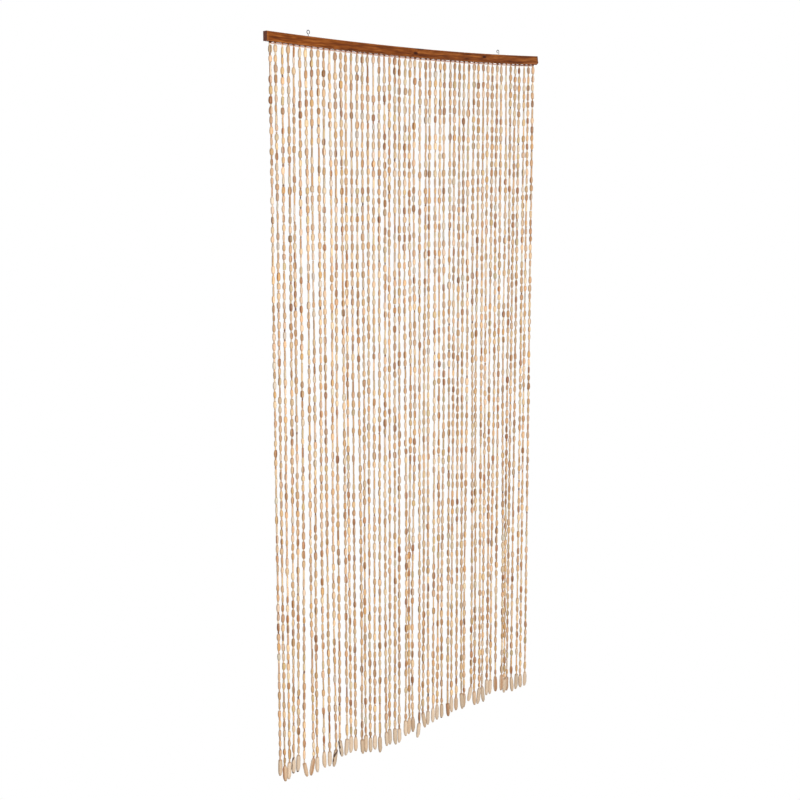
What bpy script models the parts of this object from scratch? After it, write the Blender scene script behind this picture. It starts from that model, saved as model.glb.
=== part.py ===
"""Bamboo door curtain: a bowed wooden rail with two screw eyes, and 52 bead strands laced under it.

Metres, +Z up. The rail runs along X and its front faces -Y. The origin is on the rail's flat back
face, halfway along and halfway up. The strands are four-sided and hang from one narrow lacing
strip, each with a long drop at its foot. Their beads are finer than this model.
"""

import math
import random

import bmesh
import bpy
from mathutils import Vector

# Rail: a flat batten that has warped, so its middle hangs lower than its ends.
RAIL_LENGTH = 1.000
RAIL_HEIGHT = 0.025
RAIL_DEPTH = 0.017
RAIL_BOW_LEFT = 0.0083  # how far each end rises above the middle
RAIL_BOW_RIGHT = 0.0110
RAIL_STATIONS = 36
RAIL_EDGE_ROUND = 0.0012
RIGHT_CUT_SLANT = 0.004  # the right end is sawn out of square: its foot is longer than its top

# Screw eyes: bent wire, each with a shank in a pilot hole in the rail's top.
WIRE = 0.0020
LEFT_EYE_X = -0.363
RIGHT_EYE_X = 0.340
LEFT_RING_RADIUS = 0.0045
RIGHT_RING_RADIUS = 0.0042
LEFT_RING_RISE = 0.0116
RIGHT_RING_RISE = 0.0093
LEFT_SHANK_BEND = 0.0030
LEFT_RING_STOP = math.radians(-63)
RIGHT_RING_SWEEP = math.radians(262)
SHANK_DEPTH = 0.0115
ARC_STEP = math.radians(15)
WIRE_BEVEL_RESOLUTION = 2

CLEARANCE = 0.0003
PILOT_CLEARANCE = 0.00035
PILOT_SIDES = 16
CUTTER_RISE = 0.004

# Strands.
STRANDS = 52
PITCH = 0.01907
STRAND_WIDTH = 0.0060
STRAND_LENGTH_LEFT = 1.990
STRAND_LENGTH_RIGHT = 1.966
STRAND_STATIONS = 10
ROOT_NECK = 0.004

# Lacing strip, which every strand's root is part of.
LACE_DEPTH = 0.0046
LACE_HEIGHT = 0.0030
LACE_END = 0.0040

# How the strands hang: each drifts and sways a little, by a fixed draw.
HANG_SEED = 41
PITCH_WANDER = 0.0017
DRIFT = 0.0020
SWAY = 0.0025
SWAY_FORWARD = 0.0020
MOST_BENDS = 3
TRIM_WANDER = 0.002

# Drops.
DROP_LENGTH = 0.046
DROP_WIDTH = 0.0118
DROP_DEPTH = 0.0104
DROP_LEAN = math.radians(2.5)

# The drop's outline: how far down it, and how wide there, as shares of its length and width.
DROP_OUTLINE = (
    # down, width
    (0.02, 0.82),
    (0.10, 1.00),
    (0.74, 1.00),
    (0.92, 0.72),
    (1.00, 0.34),
)

# Stretches of the foot line that hang lower or higher than their neighbours.
TRIM_BANDS = (
    # first strand, last strand, extra length in mm
    (0, 0, -14),
    (1, 2, 6),
    (3, 4, -6),
    (5, 7, 18),
    (8, 9, 9),
    (10, 10, 16),
    (11, 14, -4),
    (15, 16, 10),
    (17, 18, 14),
    (19, 19, 25),
    (20, 21, 14),
    (22, 23, 21),
    (24, 26, 4),
    (27, 27, 26),
    (28, 28, 5),
    (29, 33, -3),
    (34, 37, -10),
    (38, 38, -25),
    (39, 41, -4),
    (42, 45, -19),
    (46, 47, -5),
    (48, 51, 4),
)

# Strands whose foot stands out of line, or whose drop hangs askew.
ASKEW = (
    # strand, sideways at the foot in mm, forward at the foot in mm, lean of the drop in degrees
    (2, -4, -2, -3),
    (3, -9, 0, -2),
    (4, -9, -2, -3),
    (5, -10, 0, 12),
    (6, 4, 1, -13),
    (7, -1, -2, -1),
    (10, 6, 1, -10),
    (11, 2, -1, 9),
    (12, 7, 2, -5),
    (13, 8, -2, -1),
    (14, 4, 0, 1),
    (15, 6, 2, 4),
    (16, 4, 0, 0),
    (19, -2, 0, 2),
    (20, 4, 0, 5),
    (26, -3, -2, 2),
    (27, 3, -1, -8),
    (28, -5, 0, 12),
    (33, 2, 0, 5),
    (36, 1, 5, 6),
    (37, 2, -5, -2),
    (38, 5, 2, -14),
    (39, 4, 0, 2),
    (40, 5, 0, -7),
    (41, -2, 0, 8),
    (45, 6, 4, -1),
    (46, 4, -1, 0),
    (47, -2, -3, 0),
    (48, -3, 0, 8),
    (49, 0, 0, -2),
)

STEEL_COLOUR = (0.55, 0.55, 0.56, 1.0)
RAIL_COLOUR = (0.30, 0.105, 0.030, 1.0)
STRAND_COLOUR = (0.62, 0.42, 0.25, 1.0)

MID_DEPTH = -RAIL_DEPTH / 2


def clear_scene():
    """Remove every object that the file opened with."""
    for obj in list(bpy.data.objects):
        bpy.data.objects.remove(obj, do_unlink=True)


def material(name, colour, roughness, metallic=0.0):
    """A plain material in the part's own colour."""
    made = bpy.data.materials.new(name)
    made.use_nodes = True
    shader = made.node_tree.nodes["Principled BSDF"]
    shader.inputs["Base Color"].default_value = colour
    shader.inputs["Roughness"].default_value = roughness
    shader.inputs["Metallic"].default_value = metallic
    return made


def link(name, data, finish):
    """Put mesh or curve data into the scene as a named object with its finish."""
    obj = bpy.data.objects.new(name, data)
    data.materials.append(finish)
    bpy.context.collection.objects.link(obj)
    return obj


def bow_at(x):
    """Height of the rail's centre line at x: nothing in the middle, and the bow at the ends."""
    bow = RAIL_BOW_LEFT if x < 0 else RAIL_BOW_RIGHT
    return bow * (2 * x / RAIL_LENGTH) ** 2


def rail_top(x):
    """Height of the rail's top face at x."""
    return bow_at(x) + RAIL_HEIGHT / 2


def rail_foot(x):
    """Height of the rail's underside at x."""
    return bow_at(x) - RAIL_HEIGHT / 2


def bridge_rings(mesh, rings):
    """Join each ring of vertices to the next with quads."""
    for above, below in zip(rings, rings[1:]):
        for corner in range(len(above)):
            after = (corner + 1) % len(above)
            mesh.faces.new((above[corner], above[after], below[after], below[corner]))


def rail_mesh():
    """The bowed batten as a row of rectangular sections, its right end sawn on a slant."""
    mesh = bmesh.new()
    rings = []
    for station in range(RAIL_STATIONS + 1):
        share = station / RAIL_STATIONS
        x = (share - 0.5) * RAIL_LENGTH
        slant = RIGHT_CUT_SLANT / 2 if station == RAIL_STATIONS else 0.0
        corners = (
            (x - slant, -RAIL_DEPTH, rail_top(x)),
            (x - slant, 0.0, rail_top(x)),
            (x + slant, 0.0, rail_foot(x)),
            (x + slant, -RAIL_DEPTH, rail_foot(x)),
        )
        rings.append([mesh.verts.new(corner) for corner in corners])
    bridge_rings(mesh, rings)
    mesh.faces.new(rings[0])
    mesh.faces.new(reversed(rings[-1]))
    bmesh.ops.recalc_face_normals(mesh, faces=mesh.faces)
    data = bpy.data.meshes.new("rail")
    mesh.to_mesh(data)
    mesh.free()
    return data


def pilot_cutter(name, x):
    """A round cutter for the pilot hole that takes a screw eye's shank."""
    depth = SHANK_DEPTH + PILOT_CLEARANCE
    mesh = bmesh.new()
    bmesh.ops.create_cone(
        mesh,
        cap_ends=True,
        segments=PILOT_SIDES,
        radius1=WIRE / 2 + PILOT_CLEARANCE,
        radius2=WIRE / 2 + PILOT_CLEARANCE,
        depth=depth + CUTTER_RISE,
    )
    data = bpy.data.meshes.new(name)
    mesh.to_mesh(data)
    mesh.free()
    cutter = bpy.data.objects.new(name, data)
    cutter.location = (x, MID_DEPTH, rail_top(x) + (CUTTER_RISE - depth) / 2)
    cutter.hide_render = True
    cutter.display_type = "WIRE"
    bpy.context.collection.objects.link(cutter)
    return cutter


def build_rail(finish):
    """The rail with softened edges and its two pilot holes."""
    rail = link("rail", rail_mesh(), finish)
    edges = rail.modifiers.new("softened edges", "BEVEL")
    edges.width = RAIL_EDGE_ROUND
    edges.segments = 2
    edges.limit_method = "ANGLE"
    for side, x in (("left", LEFT_EYE_X), ("right", RIGHT_EYE_X)):
        hole = rail.modifiers.new(f"{side} pilot hole", "BOOLEAN")
        hole.operation = "DIFFERENCE"
        hole.object = pilot_cutter(f"cut_{side}_pilot", x)
    return rail


def arc(centre, radius, start, stop):
    """Points of an arc in the XZ plane, anticlockwise when stop is past start."""
    steps = max(2, math.ceil(abs(stop - start) / ARC_STEP))
    angles = (start + (stop - start) * step / steps for step in range(steps + 1))
    return [
        Vector((centre[0] + radius * math.cos(a), 0.0, centre[1] + radius * math.sin(a)))
        for a in angles
    ]


def left_eye_path():
    """Up the shank, out through a small bend, and round a ring that closes on the shank."""
    radius, bend, rise = LEFT_RING_RADIUS, LEFT_SHANK_BEND, LEFT_RING_RISE
    bend_height = rise - math.sqrt(radius**2 + 2 * radius * bend)
    touch = math.atan2(rise - bend_height, bend)
    shank = [Vector((0.0, 0.0, -SHANK_DEPTH)), Vector((0.0, 0.0, bend_height / 2))]
    out = arc((-bend, bend_height), bend, 0.0, touch)
    ring = arc((0.0, rise), radius, touch - math.pi, LEFT_RING_STOP - 2 * math.pi)
    return shank + out + ring[1:]


def right_eye_path():
    """Up the shank and over into a ring beside it, left open at its foot."""
    radius, rise = RIGHT_RING_RADIUS, RIGHT_RING_RISE
    shank = [Vector((0.0, 0.0, -SHANK_DEPTH)), Vector((0.0, 0.0, rise / 2))]
    return shank + arc((-radius, rise), radius, 0.0, RIGHT_RING_SWEEP)


def build_eye(name, x, path, finish):
    """A screw eye of round wire, its foot in the rail's pilot hole."""
    curve = bpy.data.curves.new(name, "CURVE")
    curve.dimensions = "3D"
    curve.bevel_depth = WIRE / 2
    curve.bevel_resolution = WIRE_BEVEL_RESOLUTION
    curve.use_fill_caps = True
    spline = curve.splines.new("POLY")
    spline.points.add(len(path) - 1)
    for point, place in zip(spline.points, path):
        point.co = (*place, 1.0)
    eye = link(name, curve, finish)
    eye.location = (x, MID_DEPTH, rail_top(x))
    return eye


class Strand:
    """Where one strand hangs, from its root at the lacing to the tip of its drop."""

    def __init__(self, index):
        draw = random.Random(HANG_SEED * 1000 + index)
        across = index / (STRANDS - 1)
        self.root_x = (index - (STRANDS - 1) / 2) * PITCH + draw.uniform(-1, 1) * PITCH_WANDER
        self.root_z = rail_foot(self.root_x) - CLEARANCE - LACE_HEIGHT
        self.drift = draw.uniform(-1, 1) * DRIFT
        self.forward = draw.uniform(-1, 1) * DRIFT
        self.sway = draw.uniform(-1, 1) * SWAY
        self.sway_forward = draw.uniform(-1, 1) * SWAY_FORWARD
        self.bends = 1 + int(draw.random() * MOST_BENDS)
        self.lean = draw.uniform(-1, 1) * DROP_LEAN
        length = STRAND_LENGTH_LEFT + (STRAND_LENGTH_RIGHT - STRAND_LENGTH_LEFT) * across
        length += draw.uniform(-1, 1) * TRIM_WANDER
        for first, last, extra_mm in TRIM_BANDS:
            if first <= index <= last:
                length += extra_mm / 1000
        for strand, sideways_mm, forward_mm, lean_deg in ASKEW:
            if strand == index:
                self.drift = sideways_mm / 1000
                self.forward = forward_mm / 1000
                self.lean = math.radians(lean_deg)
        self.run = length - DROP_LENGTH - LACE_HEIGHT

    def centre(self, share):
        """The strand's centre at a share of the way from its root down to its drop."""
        wave = math.sin(math.pi * self.bends * share)
        x = self.root_x + self.drift * share**1.5 + self.sway * wave
        y = MID_DEPTH - self.forward * share**1.5 - self.sway_forward * wave
        return Vector((x, y, self.root_z - self.run * share))

    def drop_centre(self, share):
        """The drop's centre at a share of the way from its cut top down to its tip."""
        down = Vector((math.sin(self.lean), 0.0, -math.cos(self.lean)))
        return self.centre(1.0) + down * DROP_LENGTH * share


def section(mesh, centre, width, depth):
    """Four corners round a centre, in the order that the lacing strip's foot uses."""
    half_x, half_y = width / 2, depth / 2
    corners = ((-half_x, -half_y), (half_x, -half_y), (half_x, half_y), (-half_x, half_y))
    return [mesh.verts.new(centre + Vector((x, y, 0.0))) for x, y in corners]


def add_strand(mesh, strand, root_ring):
    """Run one four-sided strand down from its root in the strip, and end it in its drop."""
    rings = [root_ring]
    neck = ROOT_NECK / strand.run
    shares = [neck] + [step / STRAND_STATIONS for step in range(1, STRAND_STATIONS + 1)]
    for share in shares:
        rings.append(section(mesh, strand.centre(share), STRAND_WIDTH, STRAND_WIDTH))
    for down, wide in DROP_OUTLINE:
        place = strand.drop_centre(down)
        rings.append(section(mesh, place, DROP_WIDTH * wide, DROP_DEPTH * wide))
    bridge_rings(mesh, rings)
    mesh.faces.new(reversed(rings[-1]))


def build_strands(finish):
    """The lacing strip and all the strands, as one closed comb."""
    mesh = bmesh.new()
    strands = [Strand(index) for index in range(STRANDS)]
    half_root = STRAND_WIDTH / 2
    edges = [strands[0].root_x - half_root - LACE_END]
    for strand in strands:
        edges += [strand.root_x - half_root, strand.root_x + half_root]
    edges.append(strands[-1].root_x + half_root + LACE_END)
    front, back = MID_DEPTH - LACE_DEPTH / 2, MID_DEPTH + LACE_DEPTH / 2
    stations = []
    for x in edges:
        top = rail_foot(x) - CLEARANCE
        foot = top - LACE_HEIGHT
        corners = ((x, front, top), (x, back, top), (x, back, foot), (x, front, foot))
        stations.append([mesh.verts.new(corner) for corner in corners])
    for number, (left, right) in enumerate(zip(stations, stations[1:])):
        mesh.faces.new((left[0], right[0], right[1], left[1]))
        mesh.faces.new((left[1], right[1], right[2], left[2]))
        mesh.faces.new((left[3], right[3], right[0], left[0]))
        if number % 2:
            add_strand(mesh, strands[number // 2], [left[3], right[3], right[2], left[2]])
        else:
            mesh.faces.new((left[2], right[2], right[3], left[3]))
    mesh.faces.new(stations[0])
    mesh.faces.new(reversed(stations[-1]))
    bmesh.ops.recalc_face_normals(mesh, faces=mesh.faces)
    data = bpy.data.meshes.new("strands")
    mesh.to_mesh(data)
    mesh.free()
    return link("strands", data, finish)


def main():
    """Build the curtain's four pieces."""
    clear_scene()
    steel = material("steel", STEEL_COLOUR, 0.35, 1.0)
    build_rail(material("rail wood", RAIL_COLOUR, 0.4))
    build_eye("screw_eye_left", LEFT_EYE_X, left_eye_path(), steel)
    build_eye("screw_eye_right", RIGHT_EYE_X, right_eye_path(), steel)
    build_strands(material("strand wood", STRAND_COLOUR, 0.6))


main()
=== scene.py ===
"""Dresses a bamboo bead door curtain: 52 bead strands, each ending in a long wooden drop,
laced under a bowed, varnished wooden rail with two screw eyes in its top.

Everything is in metres, in the frame of the solids: the origin is at the middle of the rail's
flat back face, +X runs along the rail to the right as seen from the front, +Z is up and the
front faces -Y.
"""

import logging
import math
import random
from collections.abc import Callable
from dataclasses import dataclass, field
from enum import Enum

import bpy
import numpy as np
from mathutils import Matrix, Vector


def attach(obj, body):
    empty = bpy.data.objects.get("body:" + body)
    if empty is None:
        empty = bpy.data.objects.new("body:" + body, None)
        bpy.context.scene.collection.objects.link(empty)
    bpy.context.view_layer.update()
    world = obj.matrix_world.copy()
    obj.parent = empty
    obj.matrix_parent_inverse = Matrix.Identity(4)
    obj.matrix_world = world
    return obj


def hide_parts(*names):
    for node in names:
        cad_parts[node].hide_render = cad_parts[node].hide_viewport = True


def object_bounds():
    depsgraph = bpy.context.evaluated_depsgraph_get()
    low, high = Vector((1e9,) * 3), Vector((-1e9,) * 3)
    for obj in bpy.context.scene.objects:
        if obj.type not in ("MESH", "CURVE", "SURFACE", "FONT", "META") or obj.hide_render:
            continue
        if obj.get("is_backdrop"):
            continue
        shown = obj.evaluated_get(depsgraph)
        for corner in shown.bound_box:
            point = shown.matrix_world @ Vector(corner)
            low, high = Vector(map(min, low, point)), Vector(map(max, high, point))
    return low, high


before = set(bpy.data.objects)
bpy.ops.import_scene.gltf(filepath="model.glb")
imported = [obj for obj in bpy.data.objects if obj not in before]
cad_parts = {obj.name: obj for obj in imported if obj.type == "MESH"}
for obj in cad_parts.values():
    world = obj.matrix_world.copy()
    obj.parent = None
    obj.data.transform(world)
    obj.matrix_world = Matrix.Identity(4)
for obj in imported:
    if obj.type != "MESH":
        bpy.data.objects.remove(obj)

LOG = logging.getLogger("bead_curtain")

MM = 0.001
TINY = 1e-9
BODY = "root"
MAP_NAME = "OFBake"
WHITE = (1.0, 1.0, 1.0, 1.0)
GRAIN_REACH = 900.0  # how far apart in the grain, in millimetres, two pieces may be cut
NO_SKIN = 1.6  # more than a cosine can be, so no side of the piece has skin

Colour = tuple[float, float, float, float]


def linear(red: int, green: int, blue: int) -> Colour:
    """Turns a colour as a screen shows it, 0 to 255, into a shader's linear colour.

    Args:
        red: The red part, 0 to 255.
        green: The green part, 0 to 255.
        blue: The blue part, 0 to 255.

    Returns:
        The linear colour with an alpha of 1.
    """
    def straight(part: int) -> float:
        """Returns one part without the screen's curve."""
        share = part / 255
        return share / 12.92 if share <= 0.04045 else ((share + 0.055) / 1.055) ** 2.4

    return (straight(red), straight(green), straight(blue), 1.0)


def sign(operation: str, turned: bool = False) -> Callable[["Value", "Value | float"], "Value"]:
    """Makes the method behind one of Python's signs.

    Args:
        operation: The Math node's operation.
        turned: Whether the other term comes first.

    Returns:
        The method, which takes the value and the other term.
    """
    def method(value: "Value", other: "Value | float") -> "Value":
        """Adds the Math node of the two terms."""
        return value.sheet.maths(operation, *((other, value) if turned else (value, other)))

    return method


class Value:
    """A number that changes over a surface, which takes part in Python's sums."""

    __add__ = sign("ADD")
    __radd__ = sign("ADD", turned=True)
    __sub__ = sign("SUBTRACT")
    __rsub__ = sign("SUBTRACT", turned=True)
    __mul__ = sign("MULTIPLY")
    __rmul__ = sign("MULTIPLY", turned=True)
    __truediv__ = sign("DIVIDE")
    __rtruediv__ = sign("DIVIDE", turned=True)
    __pow__ = sign("POWER")
    __rpow__ = sign("POWER", turned=True)

    def __init__(self, sheet: "Sheet", socket: bpy.types.NodeSocket) -> None:
        """Wraps an output socket of a sheet's node."""
        self.sheet = sheet
        self.socket = socket

    def kept(self) -> "Value":
        """Returns this value kept between 0 and 1."""
        return self.sheet.maths("ADD", self, 0.0, clamp=True)

    def rise(self, low: float, high: float) -> "Value":
        """Goes smoothly from 0 to 1.

        Args:
            low: Where the result leaves 0.
            high: Where it reaches 1; below low, it falls instead.

        Returns:
            The smooth step.
        """
        settings = {"interpolation_type": "SMOOTHSTEP", "clamp": True}
        turned = low > high
        sockets = {"Value": self, "From Min": min(low, high), "From Max": max(low, high),
                   "To Min": float(turned), "To Max": float(not turned)}
        node = self.sheet.node("ShaderNodeMapRange", settings, sockets)
        return Value(self.sheet, node.outputs["Result"])


@dataclass(frozen=True)
class Grain:
    """A soft noise: how many waves it has to the millimetre each way, and how finely it is layered."""

    waves: tuple[float, float, float]
    detail: float
    roughness: float = 0.5
    distortion: float = 0.0


class Tree:
    """The nodes of a material or of the world."""

    def __init__(self, owner: bpy.types.Material | bpy.types.World) -> None:
        """Starts with no nodes.

        Args:
            owner: What the nodes belong to.
        """
        owner.use_nodes = True
        self.owner = owner
        self.nodes = owner.node_tree.nodes
        self.links = owner.node_tree.links
        self.nodes.clear()

    def node(self, kind: str, settings: dict | None = None, sockets: dict | None = None) -> bpy.types.Node:
        """Adds a node.

        Args:
            kind: Blender's name of the node's type.
            settings: The node's own settings by name. stops fills a colour ramp.
            sockets: What its input sockets get, by name or number: a value or a link.

        Returns:
            The node.
        """
        node = self.nodes.new(kind)
        for name, setting in (settings or {}).items():
            if name == "stops":
                self.fill_ramp(node, setting)
            else:
                setattr(node, name, setting)
        for name, given in (sockets or {}).items():
            self.feed(node.inputs[name], given)
        return node

    @staticmethod
    def fill_ramp(node: bpy.types.Node, stops: list[tuple[float, Colour]]) -> None:
        """Gives a colour ramp its stops.

        Args:
            node: The ramp's node.
            stops: Place and colour of each stop, in order.
        """
        elements = node.color_ramp.elements
        while len(elements) < len(stops):
            elements.new(1.0)
        for element, (place, colour) in zip(elements, stops):
            element.position = place
            element.color = colour

    def feed(self, socket: bpy.types.NodeSocket, given: object) -> None:
        """Links or sets one input socket.

        Args:
            socket: The input.
            given: A Value, an output socket, or a plain value.
        """
        if isinstance(given, Value):
            given = given.socket
        if isinstance(given, bpy.types.NodeSocket):
            self.links.new(given, socket)
        else:
            socket.default_value = given


class Sheet(Tree):
    """One material and the nodes that make its finish."""

    def __init__(self, name: str) -> None:
        """Starts the material of that name with a bare Principled shader."""
        super().__init__(bpy.data.materials.new(name))
        self.shader = self.node("ShaderNodeBsdfPrincipled")
        self.node("ShaderNodeOutputMaterial", sockets={"Surface": self.shader.outputs[0]})

    def put(self, **inputs: object) -> None:
        """Feeds the Principled shader's sockets, whose names have _ for each space."""
        for name, given in inputs.items():
            self.feed(self.shader.inputs[name.replace("_", " ")], given)

    def maths(self, operation: str, *terms: Value | float, clamp: bool = False) -> Value:
        """Adds one Math node.

        Args:
            operation: The node's operation.
            *terms: Its inputs in order.
            clamp: Whether the result is kept between 0 and 1.

        Returns:
            The node's result.
        """
        settings = {"operation": operation, "use_clamp": clamp}
        return Value(self, self.node("ShaderNodeMath", settings, dict(enumerate(terms))).outputs[0])

    def attribute(self, name: str, part: str = "Vector") -> bpy.types.NodeSocket:
        """Returns one of the mesh's attributes, as a Vector or a Color."""
        return self.node("ShaderNodeAttribute", {"attribute_name": name}).outputs[part]

    def split(self, vector: bpy.types.NodeSocket) -> list[Value]:
        """Returns the three parts of a vector."""
        node = self.node("ShaderNodeSeparateXYZ", sockets={0: vector})
        return [Value(self, part) for part in node.outputs]

    def joined(self, *parts: Value) -> bpy.types.NodeSocket:
        """Returns a vector of three parts."""
        return self.node("ShaderNodeCombineXYZ", sockets=dict(enumerate(parts))).outputs[0]

    def noise(self, place: bpy.types.NodeSocket, grain: Grain) -> Value:
        """Adds soft noise.

        Args:
            place: Where on the surface, in millimetres.
            grain: Its waves and layers.

        Returns:
            The noise, mostly between 0.3 and 0.7.
        """
        waves = self.node("ShaderNodeVectorMath", {"operation": "MULTIPLY"}, {0: place, 1: grain.waves})
        sockets = {"Vector": waves.outputs[0], "Scale": 1.0, "Detail": grain.detail,
                   "Roughness": grain.roughness, "Distortion": grain.distortion}
        return Value(self, self.node("ShaderNodeTexNoise", sockets=sockets).outputs["Fac"])

    def mixed(self, share: Value | float, low: object, high: object,
              way: str = "MIX") -> bpy.types.NodeSocket:
        """Mixes two colours.

        Args:
            share: 0 for low and 1 for high.
            low: The first colour, or a link to it.
            high: The second colour, or a link to it.
            way: The mix's kind, such as MULTIPLY.

        Returns:
            The mixed colour.
        """
        settings = {"data_type": "RGBA", "blend_type": way, "clamp_factor": True}
        return self.node("ShaderNodeMix", settings, {0: share, 6: low, 7: high}).outputs[2]

    def raised(self, height: Value, depth: float) -> None:
        """Turns a height into the shader's bump.

        Args:
            height: The height, 0 to 1.
            depth: How deep 0 to 1 is, in metres.
        """
        sockets = {"Strength": 1.0, "Distance": depth, "Height": height}
        self.put(Normal=self.node("ShaderNodeBump", sockets=sockets).outputs[0])


@dataclass(frozen=True)
class WoodKnot:
    """A knot in the rail's front, in millimetres in the rail's own straightened length."""

    along: float
    up: float
    half_length: float
    half_height: float
    swirl: float = 0.8


@dataclass(frozen=True)
class VarnishedWood:
    """Reddish-brown varnish over streaky softwood, with knots."""

    name: str = "varnished_wood"
    dark: Colour = linear(66, 28, 9)
    brown: Colour = linear(102, 49, 14)
    warm: Colour = linear(128, 68, 23)
    light: Colour = linear(164, 100, 45)
    knot: Colour = linear(46, 14, 8)
    worn: Colour = linear(160, 98, 50)
    bare: Colour = linear(178, 112, 70)
    roughness: float = 0.46
    gloss: float = 0.08
    coat: float = 0.02
    coat_roughness: float = 0.3
    grain_depth: float = 0.12 * MM
    bands: Grain = Grain((0.006, 0.10, 0.16), 3.0, 0.6, 0.6)
    flecks: Grain = Grain((0.028, 0.16, 0.26), 1.5, 0.5, 0.2)
    streaks: Grain = Grain((0.020, 0.45, 0.62), 4.0, 0.65, 0.3)
    pores: Grain = Grain((0.12, 2.4, 3.0), 2.0)

    def dressed(self, knots: tuple[WoodKnot, ...]) -> bpy.types.Material:
        """Makes the material.

        Args:
            knots: The knots that show in the wood.

        Returns:
            The material.
        """
        sheet = Sheet(self.name)
        along, deep, up = sheet.split(sheet.attribute("fibre"))
        spot: Value | float = 0.0
        for knot in knots:
            aside = (along - knot.along) / knot.half_length
            above = (up - knot.up) / knot.half_height
            away = aside * aside + above * above
            up = up + (up - knot.up) * away.rise(6.0, 0.0) * knot.swirl
            spot = spot + away.rise(1.25, 0.35)
        bent = sheet.joined(along, deep, up)
        bands, flecks = sheet.noise(bent, self.bands), sheet.noise(bent, self.flecks)
        streaks, pores = sheet.noise(bent, self.streaks), sheet.noise(bent, self.pores)
        low_side = up.rise(-2.0, -10.0)
        left_part = along.rise(-60.0, -420.0)
        tone = bands * 0.60 + flecks * 0.55 + streaks * 0.50 + left_part * 0.03 - low_side * 0.07
        ramp = [(0.30, self.dark), (0.43, self.brown), (0.56, self.warm), (0.72, self.light)]
        colour = sheet.node("ShaderNodeValToRGB", {"stops": ramp}, {0: (tone - 0.32).kept()}).outputs[0]
        wear, _, wane = sheet.split(sheet.attribute("traits"))
        layers = [
            (pores.rise(0.60, 0.74) * 0.35, self.dark),
            ((wear * (streaks + 0.45)).rise(0.55, 0.95) * 0.45, self.worn),
            (along.rise(-492.0, -499.0) * 0.35, self.worn),
            (wane * streaks.rise(0.25, 0.5) * 0.80, self.bare),
            ((along + up * 0.16).rise(495.0, 498.5) * 0.6, self.dark),
            (spot.kept() * 0.92, self.knot),
        ]
        for share, over in layers:
            colour = sheet.mixed(share, colour, over)
        sheet.put(Base_Color=colour, Roughness=(pores * 0.25 + self.roughness - 0.12).kept(),
                  Specular_IOR_Level=self.gloss, Coat_Weight=self.coat, Coat_Roughness=self.coat_roughness)
        sheet.raised(streaks * 0.6 + pores * 0.4, self.grain_depth)
        return sheet.owner


@dataclass(frozen=True)
class SawnEnd:
    """Dark end grain, where the varnish sank in."""

    name: str = "sawn_end"
    dark: Colour = linear(84, 40, 30)
    light: Colour = linear(132, 78, 58)
    log_deep: float = 34.0
    log_below: float = 9.0
    rings_rate: float = 2.3
    rings_wobble: float = 5.0
    grain_depth: float = 0.15 * MM
    wobble: Grain = Grain((0.0, 0.25, 0.25), 2.0)
    pores: Grain = Grain((2.0, 2.6, 2.6), 3.0)

    def dressed(self) -> bpy.types.Material:
        """Returns the material: curved year rings and open pores."""
        sheet = Sheet(self.name)
        place = sheet.attribute("fibre")
        _, deep, up = sheet.split(place)
        aside, above = deep + self.log_deep, up + self.log_below
        radius = (aside * aside + above * above) ** 0.5
        phase = radius * self.rings_rate + sheet.noise(place, self.wobble) * self.rings_wobble
        rings = sheet.maths("SINE", phase) * 0.5 + 0.5
        pores = sheet.noise(place, self.pores)
        tone = (rings * 0.5 + pores * 0.7 - 0.1).kept()
        sheet.put(Base_Color=sheet.mixed(tone, self.dark, self.light), Roughness=0.7)
        sheet.raised(tone, self.grain_depth)
        return sheet.owner


@dataclass(frozen=True)
class DullSteel:
    """Plain steel wire with a slightly dull, scratched skin."""

    name: str = "dull_steel"
    bright: Colour = linear(146, 147, 150)
    dull: Colour = linear(92, 93, 98)
    roughness: float = 0.48
    scratch_depth: float = 0.03 * MM
    clouds: Grain = Grain((0.5, 0.5, 0.4), 3.0, 0.6)
    scratches: Grain = Grain((5.0, 5.0, 0.5), 2.0)

    def dressed(self) -> bpy.types.Material:
        """Returns the material: cloudy grey with drawn scratches along the wire."""
        sheet = Sheet(self.name)
        place = sheet.attribute("fibre")
        clouds, scratches = sheet.noise(place, self.clouds), sheet.noise(place, self.scratches)
        colour = sheet.mixed((clouds * 1.6 - 0.3).kept(), self.dull, self.bright)
        sheet.put(Base_Color=colour, Metallic=1.0,
                  Roughness=(clouds * 0.2 + scratches * 0.15 + self.roughness - 0.16).kept())
        sheet.raised(scratches, self.scratch_depth)
        return sheet.owner


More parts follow.
